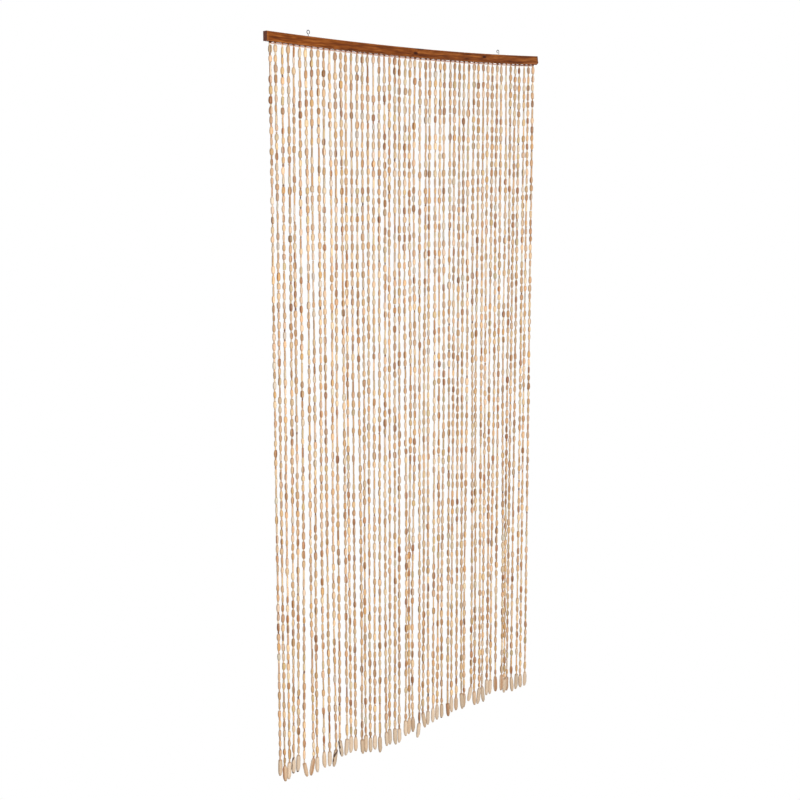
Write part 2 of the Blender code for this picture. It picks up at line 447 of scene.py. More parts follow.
@dataclass(frozen=True)
class BareWood:
    """Bare bamboo and wood, streaked lengthwise, with a strip of darker skin on some sides."""

    name: str
    skin: Colour = linear(190, 153, 119)
    char_and_shade: Colour = linear(58, 30, 18)
    roughness: float = 0.55
    streak_depth: float = 0.10 * MM
    fibres: Grain = Grain((1.1, 1.1, 0.07), 3.0, 0.6)
    clouds: Grain = Grain((0.22, 0.22, 0.06), 2.0)
    pores: Grain = Grain((2.6, 2.6, 0.30), 1.0)

    def dressed(self) -> bpy.types.Material:
        """Returns the material, which takes its tint from the mesh's attributes."""
        sheet = Sheet(self.name)
        place = sheet.attribute("fibre")
        skin, along, mark = sheet.split(sheet.attribute("traits"))
        fibres, clouds = sheet.noise(place, self.fibres), sheet.noise(place, self.clouds)
        pores = sheet.noise(place, self.pores)
        shade = (fibres * 0.75 + clouds * 0.55 + 0.36).kept()
        grey = sheet.joined(shade, shade * 0.99 + 0.004, shade * 0.97 + 0.008)
        colour = sheet.mixed(1.0, sheet.attribute("tint", "Color"), grey, "MULTIPLY")
        strip = (skin + (fibres - 0.5) * 0.5).rise(-0.05, 0.12)
        colour = sheet.mixed(strip * 0.85, colour, self.skin, "MULTIPLY")
        ends = sheet.maths("ABSOLUTE", along * 2.0 - 1.0).rise(0.78, 1.04)
        colour = sheet.mixed(ends * 0.5, colour, self.skin, "MULTIPLY")
        colour = sheet.mixed(pores.rise(0.64, 0.78) * 0.4, colour, self.char_and_shade)
        # The mark darkens the wood to near black: scorch marks, stripes, and on drops 3 and 4 painted shade
        # down the left side.
        burn_shade = (mark + (clouds - 0.5) * 0.6).rise(0.35, 0.8)
        colour = sheet.mixed(burn_shade * 0.9, colour, self.char_and_shade)
        sheet.put(Base_Color=colour, Roughness=(self.roughness + fibres * 0.2 - strip * 0.18).kept())
        sheet.raised(fibres * 0.7 + pores * 0.3, self.streak_depth)
        return sheet.owner


@dataclass(frozen=True)
class CottonThread:
    """Pale cotton thread, twisted of a few plies, with a soft fuzz."""

    name: str = "cotton_thread"
    pale: Colour = linear(245, 234, 232)
    shaded: Colour = linear(206, 184, 186)
    fuzz_depth: float = 0.12 * MM
    fuzz: Grain = Grain((2.2, 2.2, 2.2), 3.0, 0.6)

    def dressed(self) -> bpy.types.Material:
        """Returns the material, which takes its tint from the mesh's attributes."""
        sheet = Sheet(self.name)
        fuzz = sheet.noise(sheet.attribute("fibre"), self.fuzz)
        colour = sheet.mixed((fuzz * 1.5 - 0.25).kept(), self.shaded, self.pale)
        colour = sheet.mixed(1.0, sheet.attribute("tint", "Color"), colour, "MULTIPLY")
        sheet.put(Base_Color=colour, Roughness=0.9)
        sheet.raised(fuzz, self.fuzz_depth)
        return sheet.owner


def stacked(*parts: np.ndarray | float) -> np.ndarray:
    """Returns vectors of three parts, rings by sides by 3."""
    return np.stack(np.broadcast_arrays(*parts), axis=2)


def heading(turn: float) -> np.ndarray:
    """Returns the direction at an angle in a plane."""
    return np.array([math.cos(turn), math.sin(turn)])


def round_turns(sides: int) -> np.ndarray:
    """Returns the angle of each point round a section."""
    return np.arange(sides) / sides * math.tau


def square_to(way: np.ndarray, spin: float = 0.0) -> tuple[np.ndarray, np.ndarray]:
    """Finds two directions square to a third, so that the three are right-handed.

    Args:
        way: The third direction, of length 1.
        spin: How far the two are turned about it, in radians.

    Returns:
        The two directions.
    """
    guide = np.array([0.0, 1.0, 0.0]) if abs(way[1]) < 0.9 else np.array([1.0, 0.0, 0.0])
    first = np.cross(guide, way)
    first /= np.linalg.norm(first)
    second = np.cross(way, first)
    cosine, sine = heading(spin)
    return first * cosine + second * sine, second * cosine - first * sine


def tube(path: np.ndarray, radius: float, sides: int, twist: float = 0.0,
         lobes: float = 0.0, offset: float = 0.0) -> tuple[np.ndarray, np.ndarray]:
    """Works out the rings of a round tube along a path in an upright plane.

    Args:
        path: The points along its middle.
        radius: The tube's radius, in metres.
        sides: The points round it.
        twist: How far it turns about its path for each metre, in radians.
        lobes: How much two ridges stand out, as a share of the radius.
        offset: How far its middle runs off the path as it twists, in metres.

    Returns:
        The rings and the same points in millimetres along and round the tube.
    """
    ways = np.gradient(path, axis=0)
    ways /= np.linalg.norm(ways, axis=1)[:, None]
    run = np.r_[0.0, np.cumsum(np.linalg.norm(np.diff(path, axis=0), axis=1))]
    turn = round_turns(sides)
    rings, fibre = [], []
    side = square_to(ways[0])[0]
    for point, way, far in zip(path, ways, run):
        side = side - way * float(side @ way)
        side /= np.linalg.norm(side)
        other = np.cross(way, side)
        phase = twist * far
        centre = point + (side * math.cos(phase) + other * math.sin(phase)) * offset
        reach = radius * (1 + lobes * np.cos(2 * (turn - phase)))
        flat = np.stack([reach * np.cos(turn), reach * np.sin(turn)], axis=1)
        rings.append(centre + flat[:, :1] * side + flat[:, 1:] * other)
        fibre.append(np.c_[flat, np.full(sides, far)] / MM)
    return np.array(rings), np.array(fibre)


def grain_start(draw: random.Random) -> np.ndarray:
    """Draws where in the grain a piece was cut, in millimetres."""
    return np.array([draw.uniform(0, GRAIN_REACH) for _ in range(3)])


def skin_strip(draw: random.Random, turn: np.ndarray, chance: float,
               half_width: tuple[float, float]) -> np.ndarray:
    """Draws a strip of darker skin along one side of a piece.

    Args:
        draw: The piece's own random numbers.
        turn: The angle of each point round it.
        chance: How often there is a strip.
        half_width: Its least and greatest half width, in radians.

    Returns:
        A number for each point round it, more than 0 in the strip.
    """
    facing = draw.uniform(0, math.tau)
    limit = math.cos(draw.uniform(*half_width)) if draw.random() < chance else NO_SKIN
    return np.cos(turn - facing) - limit


class MeshStock:
    """Gathers tubes and turned shapes into one mesh, with tints, fibre places and a map.

    Every shape gets a square cell of its own on the map, so that no two of them share a spot.
    """

    CAP_SHARE = 0.09
    MARGIN = 0.03
    ATTRIBUTES = {"tint": ("FLOAT_COLOR", "color"), "fibre": ("FLOAT_VECTOR", "vector"),
                  "traits": ("FLOAT_VECTOR", "vector")}

    def __init__(self, cells: int) -> None:
        """Starts an empty stock.

        Args:
            cells: How many shapes the map has room for.
        """
        self.columns = max(1, math.ceil(math.sqrt(cells)))
        self.shapes = 0
        self.count = 0
        self.points: list[np.ndarray] = []
        self.faces: list[list[int]] = []
        self.maps: list[np.ndarray] = []
        self.rows: dict[str, list[np.ndarray]] = {name: [] for name in self.ATTRIBUTES}

    def add(self, rings: np.ndarray, fibre: np.ndarray, skin: np.ndarray | float = -1.0,
            mark: np.ndarray | float = 0.0, tint: Colour = WHITE, dimple: float = 0.0,
            cell: tuple[float, float, float, float] | None = None) -> None:
        """Adds a closed shape of rings, one after another, with a cap at each end.

        Args:
            rings: The points, rings by sides by 3. Each ring turns right-handed about the way to the next.
            fibre: The same points in millimetres, as the grain sees them, in the same layout.
            skin: How much dark skin there is, for all points, for each point round it, or rings by sides.
            mark: How much it is scorched, in the same way; on drops 3 and 4 it also carries painted shade
                down the left side.
            tint: The shape's own colour.
            dimple: How far the middle of each cap is drawn in, in metres.
            cell: The map's cell as left, low, wide and high, instead of the next square.
        """
        count, sides, _ = rings.shape
        middles = rings.mean(1)
        steps = np.linalg.norm(np.diff(middles, axis=0), axis=1)
        along = np.r_[0.0, np.cumsum(steps)] / max(steps.sum(), TINY)
        way = middles[-1] - middles[0]
        way /= max(np.linalg.norm(way), TINY)
        hearts = middles[[0, -1]] + np.stack([way, -way]) * dimple
        self.points.append(np.concatenate([rings.reshape(-1, 3), hearts]))
        traits = stacked(skin + np.zeros((count, sides)), along[:, None], mark).reshape(-1, 3)
        self.rows["traits"].append(np.concatenate([traits, [[-1.0, 0.0, 0.0], [-1.0, 1.0, 0.0]]]))
        self.rows["fibre"].append(np.concatenate([fibre.reshape(-1, 3), fibre[[0, -1]].mean(1)]))
        self.rows["tint"].append(np.tile(tint, (count * sides + 2, 1)))
        self.lay_faces(count, sides, along, cell or self.next_cell())
        self.count += count * sides + 2

    def next_cell(self) -> tuple[float, float, float, float]:
        """Returns the next square cell of the map, as left, low, wide and high."""
        size = 1 / self.columns
        left, low = self.shapes % self.columns * size, self.shapes // self.columns * size
        self.shapes += 1
        edge = size * self.MARGIN
        return left + edge, low + edge, size - 2 * edge, size - 2 * edge

    def lay_faces(self, count: int, sides: int, along: np.ndarray,
                  cell: tuple[float, float, float, float]) -> None:
        """Adds the faces of one shape and their corners on the map.

        Args:
            count: How many rings it has.
            sides: How many points each ring has.
            along: Each ring's share of the length.
            cell: The map's cell.
        """
        left, low, wide, high = cell
        base, first, last = self.count, self.count + count * sides, self.count + count * sides + 1
        across = left + wide * np.arange(sides + 1) / sides
        level = low + high * (self.CAP_SHARE + (1 - 2 * self.CAP_SHARE) * along)
        for side in range(sides):
            after = (side + 1) % sides
            one, two = across[side], across[side + 1]
            middle = (one + two) / 2
            self.faces.append([first, base + after, base + side])
            self.maps.append(np.array([[middle, low], [two, level[0]], [one, level[0]]]))
            for ring in range(count - 1):
                here, there = base + ring * sides, base + (ring + 1) * sides
                self.faces.append([here + side, here + after, there + after, there + side])
                self.maps.append(np.array([[one, level[ring]], [two, level[ring]],
                                           [two, level[ring + 1]], [one, level[ring + 1]]]))
            end = base + (count - 1) * sides
            self.faces.append([last, end + side, end + after])
            self.maps.append(np.array([[middle, low + high], [one, level[-1]], [two, level[-1]]]))

    def built(self, name: str, node: str, materials: list[bpy.types.Material], slot: str | None = None,
              crease: float = 50.0) -> bpy.types.Object:
        """Makes the object.

        Args:
            name: The piece's name.
            node: The solid that it stands for.
            materials: Its materials, by number.
            slot: The part's material slot that it shows; not used.
            crease: Edges sharper than this, in degrees, stay sharp.

        Returns:
            The object, riding on the part's body.
        """
        mesh = bpy.data.meshes.new(name)
        mesh.from_pydata(np.concatenate(self.points).tolist(), [], self.faces)
        for attribute, (kind, key) in self.ATTRIBUTES.items():
            rows = np.concatenate(self.rows[attribute]).astype(np.float32)
            mesh.attributes.new(attribute, kind, "POINT").data.foreach_set(key, rows.ravel())
        corners = np.concatenate(self.maps).astype(np.float32).ravel()
        mesh.uv_layers.new(name=MAP_NAME)
        mesh.uv_layers[MAP_NAME].uv.foreach_set("vector", corners)
        for material in materials:
            mesh.materials.append(material)
        mesh.shade_smooth()
        mesh.set_sharp_from_angle(angle=math.radians(crease))
        mesh.validate()
        mesh.update()
        piece = bpy.data.objects.new(name, mesh)
        bpy.context.scene.collection.objects.link(piece)
        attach(piece, BODY)
        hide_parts(node)
        LOG.info("%s: %d points, %d faces", name, len(mesh.vertices), len(mesh.polygons))
        return piece


@dataclass
class Rail:
    """The bowed batten that the curtain hangs from, with the sizes of its solid."""

    length: float = 1.000
    height: float = 0.025
    depth: float = 0.017
    bow_left: float = 0.0083
    bow_right: float = 0.0110
    edge_round: float = 0.0012
    cut_slant: float = 0.004
    wane_start: float = 0.425
    wane_full: float = 0.480
    wane_rise: float = 0.0055
    wane_depth: float = 0.0062
    wane_top: float = 1 / 6
    stations: int = 161
    corner_steps: int = 4
    flat_steps: int = 5
    wave_seed: int = 7
    wave_count: int = 5
    wave_rates: tuple[float, float] = (8.0, 40.0)
    waviness: float = 0.00022
    map_rows: int = 4
    map_margin: float = 0.01
    rows_share: float = 0.9
    knots: tuple[WoodKnot, ...] = (
        WoodKnot(along=4.0, up=-1.0, half_length=9.0, half_height=4.2),
        WoodKnot(along=21.0, up=11.5, half_length=17.0, half_height=2.2, swirl=0.2),
        WoodKnot(along=272.0, up=3.0, half_length=9.0, half_height=3.4),
    )

    def bow_at(self, x: np.ndarray | float) -> np.ndarray | float:
        """Returns how far the rail rises at x above its middle."""
        return np.where(x < 0, self.bow_left, self.bow_right) * (2 * x / self.length) ** 2

    def top(self, x: float) -> float:
        """Returns the height of the rail's top at x."""
        return self.bow_at(x) + self.height / 2

    def foot(self, x: np.ndarray | float) -> np.ndarray | float:
        """Returns the height of the rail's underside at x."""
        return self.bow_at(x) - self.height / 2

    def wane(self, x: np.ndarray, deep: np.ndarray, high: np.ndarray) -> np.ndarray:
        """Works out how far the wane, where the log's own edge ran, lifts points of the section.

        Args:
            x: Where they are along the rail.
            deep: Their depth from the section's middle, less than 0 at the front.
            high: Their height from the section's middle.

        Returns:
            The lift, in metres.
        """
        grown = np.clip((x - self.wane_start) / (self.wane_full - self.wane_start), 0, 1)
        inward = (deep + self.depth / 2) / self.wane_depth
        lower = np.clip((-high / self.height - self.wane_top) / (0.5 - self.wane_top), 0, 1)
        return self.wane_rise * grown * np.maximum(1 - inward, 0) * lower

    def outline(self) -> np.ndarray:
        """Works out the rail's section.

        Returns:
            Depth, height and wear of each point, round the section with the corners rounded.
        """
        corners = np.array([(1, 1), (-1, 1), (-1, -1), (1, -1)])
        middles = corners * (np.array([self.depth, self.height]) / 2 - self.edge_round)
        points = []
        for number, middle in enumerate(middles):
            for step in range(self.corner_steps + 1):
                lift = self.edge_round * heading(math.pi / 2 * (number + step / self.corner_steps))
                points.append((*(middle + lift), 1.0))
            flat = middles[(number + 1) % 4] - middle
            for step in range(1, self.flat_steps):
                points.append((*(middle + flat * step / self.flat_steps + lift), 0.0))
        return np.array(points)

    def built(self, wood: bpy.types.Material, end: bpy.types.Material) -> None:
        """Builds the rail.

        Args:
            wood: The varnished wood.
            end: The sawn ends' finish.
        """
        deep, high, wear = self.outline().T
        draw = random.Random(self.wave_seed)
        waves = [(draw.uniform(*self.wave_rates), draw.uniform(0, math.tau), draw.uniform(0, math.tau))
                 for _ in range(self.wave_count)]
        turn = round_turns(len(deep))
        share = np.linspace(0, 1, self.stations)[:, None]
        x = (self.length - self.cut_slant * high / self.height) * share - self.length / 2
        swell = sum(np.sin(rate * x + phase + np.sin(turn + other)) for rate, phase, other in waves)
        swell *= self.waviness / self.wave_count * np.sin(math.pi * share)
        inward = 1 - np.abs(swell) / self.depth
        lift = self.wane(x, deep, high)
        rings = stacked(x, deep * inward - self.depth / 2, self.bow_at(x) + high * inward + lift)
        below = np.clip((-high - self.height / 2) / self.edge_round + 1, 0, 1)
        bare = (lift > self.wane_rise * 0.05) * below
        stock = MeshStock(1)
        stock.add(rings, stacked(x, deep, high) / MM, wear, bare)
        self.lay_map(stock, len(deep))
        piece = stock.built("dressed_rail", "rail", [wood, end], "rail_wood", crease=40.0)
        for face in piece.data.polygons:
            face.material_index = int(abs(face.normal.x) > 0.8)

    def lay_map(self, stock: MeshStock, sides: int) -> None:
        """Folds the rail's long map into rows, so that its grain keeps its detail.

        Args:
            stock: The stock that holds the rail alone.
            sides: The points round its section.
        """
        lengthwise = (self.stations - 1) / self.map_rows
        row_high = self.rows_share / self.map_rows
        margin = self.map_margin
        for number, face in enumerate(stock.faces):
            rim = [point for point in face if point < self.stations * sides]
            if len(rim) < len(face):
                end = max(face) - self.stations * sides
                heart = np.array([0.25 + 0.5 * end, (1 + self.rows_share) / 2])
                turns = [math.tau * (point % sides) / sides for point in rim]
                stock.maps[number] = np.array([heart, *(heart + 0.04 * heading(turn) for turn in turns)])
                continue
            row = int(min(face) // sides // lengthwise)
            side = number // (self.stations + 1)
            corners = []
            for place, point in enumerate(face):
                along = (point // sides - row * lengthwise) / lengthwise
                across = (side + (place in (1, 2))) / sides
                corners.append((along * (1 - 2 * margin) + margin,
                                row_high * (row + margin * 4 + (1 - margin * 8) * across)))
            stock.maps[number] = np.array(corners)


@dataclass
class ScrewEye:
    """One bent wire eye, with the sizes and the path of its solid."""

    name: str
    node: str
    x: float
    ring_radius: float
    ring_rise: float
    last_turn: float
    bend: float = 0.0
    shank_depth: float = 0.0115
    wire: float = 0.0020
    arc_step: float = 7.0
    sides: int = 14
    thread_pitch: float = 0.0011
    thread_groove: float = 0.20
    tapers: tuple[tuple[int, float], ...] = ((0, 0.25), (1, 0.55), (-1, 0.80))

    def path(self) -> np.ndarray:
        """Works out the wire's middle line, from the point in the wood to its free end.

        Returns:
            Points from where the shank leaves the rail.
        """
        step = self.thread_pitch / 2
        points = [(0.0, step * number - self.shank_depth) for number in range(int(self.shank_depth / step))]
        if self.bend:
            fall = math.sqrt(self.ring_radius ** 2 + 2 * self.ring_radius * self.bend)
            touch = math.degrees(math.atan2(fall, self.bend))
            points += self.arc((-self.bend, self.ring_rise - fall), self.bend, 0.0, touch)
            points += self.arc((0.0, self.ring_rise), self.ring_radius, touch - 180, self.last_turn - 360)[1:]
        else:
            points += self.arc((-self.ring_radius, self.ring_rise), self.ring_radius, 0.0, self.last_turn)
        return np.array([(across, 0.0, up) for across, up in points])

    def arc(self, centre: tuple[float, float], radius: float, first: float, last: float) -> list[np.ndarray]:
        """Works out points along an arc.

        Args:
            centre: Its centre.
            radius: Its radius, in metres.
            first: Where it starts, in degrees.
            last: Where it ends, in degrees.

        Returns:
            The points, both ends among them.
        """
        steps = max(2, math.ceil(abs(last - first) / self.arc_step))
        turns = np.radians(np.linspace(first, last, steps + 1))
        return [centre + radius * heading(turn) for turn in turns]

    def built(self, rail: Rail, steel: bpy.types.Material) -> None:
        """Builds the eye where its solid is.

        Args:
            rail: The rail that it is screwed into.
            steel: The wire's finish.
        """
        path = self.path() + np.array([self.x, -rail.depth / 2, rail.top(self.x)])
        rings, fibre = tube(path, self.wire / 2, self.sides)
        turn = round_turns(self.sides)
        for number in range(int(self.shank_depth / self.thread_pitch * 2)):
            phase = math.tau * path[number][2] / self.thread_pitch
            groove = 1 - self.thread_groove * (0.5 + 0.5 * np.cos(turn - phase))
            rings[number] = path[number] + (rings[number] - path[number]) * groove[:, None]
        for number, share in self.tapers:
            centre = rings[number].mean(0)
            rings[number] = centre + (rings[number] - centre) * share
        stock = MeshStock(1)
        stock.add(rings, fibre)
        stock.built(self.name, self.node, [steel], "steel")


@dataclass(frozen=True)
class Askew:
    """How a strand that hangs out of line strays at its foot."""

    sideways: float
    forward: float
    lean: float


@dataclass
class HangRule:
    """How the solids' strands hang. Seeds, sizes and the order of draws are theirs."""

    strands: int = 52
    pitch: float = 0.01907
    pitch_wander: float = 0.0017
    clearance: float = 0.0003
    lace_height: float = 0.0030
    seed: int = 41
    drift: float = 0.0020
    sway: float = 0.0025
    sway_forward: float = 0.0020
    most_bends: int = 3
    drop_length: float = 0.046
    drop_longer: tuple[float, float] = (-0.003, 0.006)
    drop_seed: int = 6100
    drop_lean: float = 2.5
    length_left: float = 1.990
    length_right: float = 1.966
    trim_wander: float = 0.002
    trim_bands: tuple[tuple[int, int, float], ...] = (
        (0, 0, -14.0), (1, 2, 6.0), (3, 4, -6.0), (5, 7, 18.0), (8, 9, 9.0), (10, 10, 16.0), (11, 14, -4.0),
        (15, 16, 10.0), (17, 18, 14.0), (19, 19, 25.0), (20, 21, 14.0), (22, 23, 21.0), (24, 26, 4.0),
        (27, 27, 26.0), (28, 28, 5.0), (29, 33, -3.0), (34, 37, -10.0), (38, 38, -25.0), (39, 41, -4.0),
        (42, 45, -19.0), (46, 47, -5.0), (48, 51, 4.0),
    )
    askew: dict[int, Askew] = field(default_factory=lambda: {
        2: Askew(-4, -2, -3), 3: Askew(-9, 0, -2), 4: Askew(-9, -2, -3), 5: Askew(-10, 0, 12),
        6: Askew(4, 1, -13), 7: Askew(-1, -2, -1), 10: Askew(6, 1, -10), 11: Askew(2, -1, 9),
        12: Askew(7, 2, -5), 13: Askew(8, -2, -1), 14: Askew(4, 0, 1), 15: Askew(6, 2, 4),
        16: Askew(4, 0, 0), 19: Askew(-2, 0, 2), 20: Askew(4, 0, 5), 26: Askew(-3, -2, 2),
        27: Askew(3, -1, -8), 28: Askew(-5, 0, 12), 33: Askew(2, 0, 5), 36: Askew(1, 5, 6),
        37: Askew(2, -5, -2), 38: Askew(5, 2, -14), 39: Askew(4, 0, 2), 40: Askew(5, 0, -7),
        41: Askew(-2, 0, 8), 45: Askew(6, 4, -1), 46: Askew(4, -1, 0), 47: Askew(-2, -3, 0),
        48: Askew(-3, 0, 8), 49: Askew(0, 0, -2),
    })


class Strand:
    """The line that one strand hangs along, the same as its solid's."""

    def __init__(self, index: int, rule: HangRule, rail: Rail) -> None:
        """Draws this strand's own numbers, in the order of the solids.

        Args:
            index: The strand's number from the left.
            rule: The rule that all strands share.
            rail: The rail that it hangs from.
        """
        draw = random.Random(rule.seed * 1000 + index)
        last = rule.strands - 1
        self.index = index
        self.depth = -rail.depth / 2
        self.root_x = (index - last / 2) * rule.pitch + draw.uniform(-1, 1) * rule.pitch_wander
        self.rail_foot = float(rail.foot(self.root_x))
        self.root_z = self.rail_foot - rule.clearance - rule.lace_height
        self.drift = draw.uniform(-1, 1) * rule.drift
        self.forward = draw.uniform(-1, 1) * rule.drift
        self.sway = draw.uniform(-1, 1) * rule.sway
        self.sway_forward = draw.uniform(-1, 1) * rule.sway_forward
        self.bends = 1 + int(draw.random() * rule.most_bends)
        self.lean = math.radians(draw.uniform(-1, 1) * rule.drop_lean)
        length = rule.length_left + (rule.length_right - rule.length_left) * index / last
        length += draw.uniform(-1, 1) * rule.trim_wander
        length += sum(extra for low, high, extra in rule.trim_bands if low <= index <= high) * MM
        if index in rule.askew:
            stray = rule.askew[index]
            self.drift, self.forward = stray.sideways * MM, stray.forward * MM
            self.lean = math.radians(stray.lean)
        self.run = length - rule.drop_length - rule.lace_height
        longer = random.Random(rule.drop_seed + index).uniform(*rule.drop_longer)
        self.drop_length = rule.drop_length + longer
        self.bead_run = self.run - longer

    def centre(self, far: float) -> np.ndarray:
        """Finds the thread.

        Args:
            far: How far down the strand, in metres from its root.

        Returns:
            The point.
        """
        share = far / self.run
        wave = math.sin(math.pi * self.bends * share)
        strayed = max(share, 0.0) ** 1.5
        return np.array([self.root_x + self.drift * strayed + self.sway * wave,
                         self.depth - self.forward * strayed - self.sway_forward * wave,
                         self.root_z - far])

    def drop_way(self) -> np.ndarray:
        """Returns the direction that the drop points in."""
        return np.array([math.sin(self.lean), 0.0, -math.cos(self.lean)])


class BeadKind(Enum):
    """The sorts of bead on a strand."""

    OVAL = "fat oval"
    SLIM = "slim oval"
    REED = "long reed"
    NECK = "short neck"
    KNOB = "dark knob"


@dataclass(frozen=True)
class BeadSizes:
    """The range of sizes of one sort of bead, and how finely it is built."""

    radius: tuple[float, float]
    end_share: tuple[float, float]
    fullness: tuple[float, float]
    flatness: tuple[float, float]
    stations: tuple[float, ...]
    sides: int
    bend: float
    skin_chance: float


@dataclass(frozen=True)
class Shade:
    """One of the woods' colours and how often it comes."""

    colour: Colour
    often: float

    @staticmethod
    def chosen(draw: random.Random, shades: tuple["Shade", ...], light: tuple[float, float]) -> np.ndarray:
        """Draws one shade and how light it is.

        Args:
            draw: The piece's own random numbers.
            shades: The shades to choose from.
            light: The least and greatest lightness, about 1.

        Returns:
            Its red, green and blue.
        """
        shade = draw.choices(shades, [item.often for item in shades])[0]
        return np.array(shade.colour[:3]) * draw.uniform(*light)


@dataclass
class BeadCurtain:
    """All bead strands, in groups that are one piece each.

    Every strand repeats one unit, a long bead and a short one, and most of the long ones are fat ovals.
    So the strands' beads stand in rows near the rail and drift apart further down.
    """

    strands: list[Strand]
    group: int = 4
    seed: int = 907
    unit: float = 0.0252
    unit_growth: tuple[float, float, float] = (1.0, 1.015, 1.11)
    growth_places: tuple[float, float, float] = (0.0, 0.45, 1.0)
    last_unit: float = 0.6
    unit_wander: float = 0.0009
    top_neck: float = 0.0050
    start_wander: float = 0.0019
    stretch_wander: float = 0.003
    long_share: tuple[float, float] = (0.68, 0.82)
    knob_chance: float = 0.28
    sizes: dict[BeadKind, BeadSizes] = field(default_factory=lambda: {
        BeadKind.OVAL: BeadSizes((0.0040, 0.0051), (0.49, 0.72), (0.46, 0.80), (0.84, 1.0),
                                 (0.0, 0.05, 0.18, 0.36, 0.58, 0.78, 0.94, 1.0), 10, 0.0003, 0.55),
        BeadKind.SLIM: BeadSizes((0.0031, 0.0039), (0.62, 0.87), (0.45, 0.8), (0.84, 1.0),
                                 (0.0, 0.06, 0.30, 0.60, 0.94, 1.0), 8, 0.0004, 0.40),
        BeadKind.REED: BeadSizes((0.0023, 0.0031), (0.80, 0.95), (0.35, 0.6), (0.85, 1.0),
                                 (0.0, 0.04, 0.5, 0.96, 1.0), 8, 0.0006, 0.30),
        BeadKind.NECK: BeadSizes((0.0020, 0.0029), (0.75, 0.95), (0.4, 0.8), (0.88, 1.0),
                                 (0.0, 0.12, 0.88, 1.0), 8, 0.0, 0.20),
        BeadKind.KNOB: BeadSizes((0.0021, 0.0030), (0.60, 0.80), (0.5, 0.9), (0.9, 1.0),
                                 (0.0, 0.2, 0.5, 0.8, 1.0), 8, 0.0, 0.0),
    })
    first_kinds: tuple[float, float, float] = (0.82, 0.10, 0.08)
    second_kinds: tuple[float, float, float] = (0.62, 0.24, 0.14)
    girth: tuple[float, float, float] = (1.10, 1.01, 1.04)
    girth_places: tuple[float, float, float] = (0.0, 0.5, 1.0)
    fattest: tuple[float, float] = (0.40, 0.60)
    rim_share: float = 0.88
    lumps: tuple[float, float] = (0.07, 0.04)
    dimple: float = 0.0005
    shades: tuple[Shade, ...] = (
        Shade(linear(216, 189, 157), 0.30), Shade(linear(208, 174, 138), 0.28),
        Shade(linear(197, 160, 122), 0.22), Shade(linear(199, 158, 110), 0.06),
        Shade(linear(200, 173, 132), 0.06), Shade(linear(180, 137, 99), 0.04),
        Shade(linear(209, 191, 166), 0.05),
    )
    knob_shades: tuple[Shade, ...] = (
        Shade(linear(194, 158, 122), 0.56), Shade(linear(164, 124, 90), 0.36),
        Shade(linear(126, 90, 62), 0.08),
    )
    light_range: tuple[float, float] = (0.83, 1.13)
    warm_range: float = 0.12
    rose_range: float = 0.045
    strand_tone: tuple[float, float] = (0.888, 1.08)
    foot_warmth: tuple[float, float] = (0.06, 0.15)
    skin_half_width: tuple[float, float] = (0.5, 1.3)
    stripe_chance: float = 0.34
    stripe_strength: tuple[float, float] = (0.40, 0.85)
    hole_off: float = 0.0006
    thread_gap: float = 0.00025
    long_gap_chance: float = 0.04
    long_gap: float = 0.0014

    def pick(self, draw: random.Random, kind: BeadKind, tone: float, down: float) -> Colour:
        """Picks a tint.

        Args:
            draw: The strand's own random numbers.
            kind: The sort of bead.
            tone: How light the whole strand is, about 1.
            down: How far down the strand the bead is, 0 to 1. The lower ones are a little browner.

        Returns:
            One of the shades, a little lighter or darker, warmer or cooler.
        """
        shades = self.knob_shades if kind is BeadKind.KNOB else self.shades
        red, green, blue = Shade.chosen(draw, shades, self.light_range) * tone
        warm = draw.uniform(-1, 1) * self.warm_range
        rose = draw.uniform(-1, 1) * self.rose_range
        less_green, less_blue = (1 - part * down ** 2 for part in self.foot_warmth)
        return (red * (1 + warm / 2), green * (1 - rose) * less_green, blue * (1 - warm) * less_blue, 1.0)

    def threaded(self, strand: Strand, draw: random.Random) -> list[tuple[BeadKind, float, float]]:
        """Chooses the beads of one strand, from its root to its drop.

        Args:
            strand: The strand's line.
            draw: The strand's own random numbers.

        Returns:
            The sort of each bead, where it starts and how long it is, in metres down the strand.
        """
        long_kinds = (BeadKind.OVAL, BeadKind.SLIM, BeadKind.REED)
        first_neck = max(self.top_neck + draw.gauss(0, self.start_wander), self.top_neck / 2)
        stretch = 1 + draw.gauss(0, self.stretch_wander)
        edges = [first_neck]
        while edges[-1] < strand.bead_run - self.unit * self.last_unit:
            grown = float(np.interp(edges[-1] / strand.run, self.growth_places, self.unit_growth))
            edges.append(edges[-1] + self.unit * grown * stretch + draw.gauss(0, self.unit_wander))
        edges[-1] = strand.bead_run
        placed = [(BeadKind.NECK, 0.0, first_neck - self.thread_gap)]
        for number, (start, stop) in enumerate(zip(edges, edges[1:])):
            stop = max(stop, start + self.unit / 2)
            kind = draw.choices(long_kinds, self.second_kinds if number % 2 else self.first_kinds)[0]
            gap = self.thread_gap
            if draw.random() < self.long_gap_chance:
                gap += draw.uniform(0, self.long_gap)
            share = 1.0 if kind is BeadKind.REED else draw.uniform(*self.long_share)
            middle = start + (stop - start) * share
            placed.append((kind, start, middle - start - gap))
            if share < 1.0:
                short = BeadKind.KNOB if draw.random() < self.knob_chance else BeadKind.NECK
                placed.append((short, middle, stop - middle - self.thread_gap))
        return placed

    def jitter(self, draw: random.Random) -> np.ndarray:
        """Draws how far off the thread one end of a bead's hole sits."""
        return np.array([draw.gauss(0, 1), draw.gauss(0, 1), 0.0]) * self.hole_off / 2

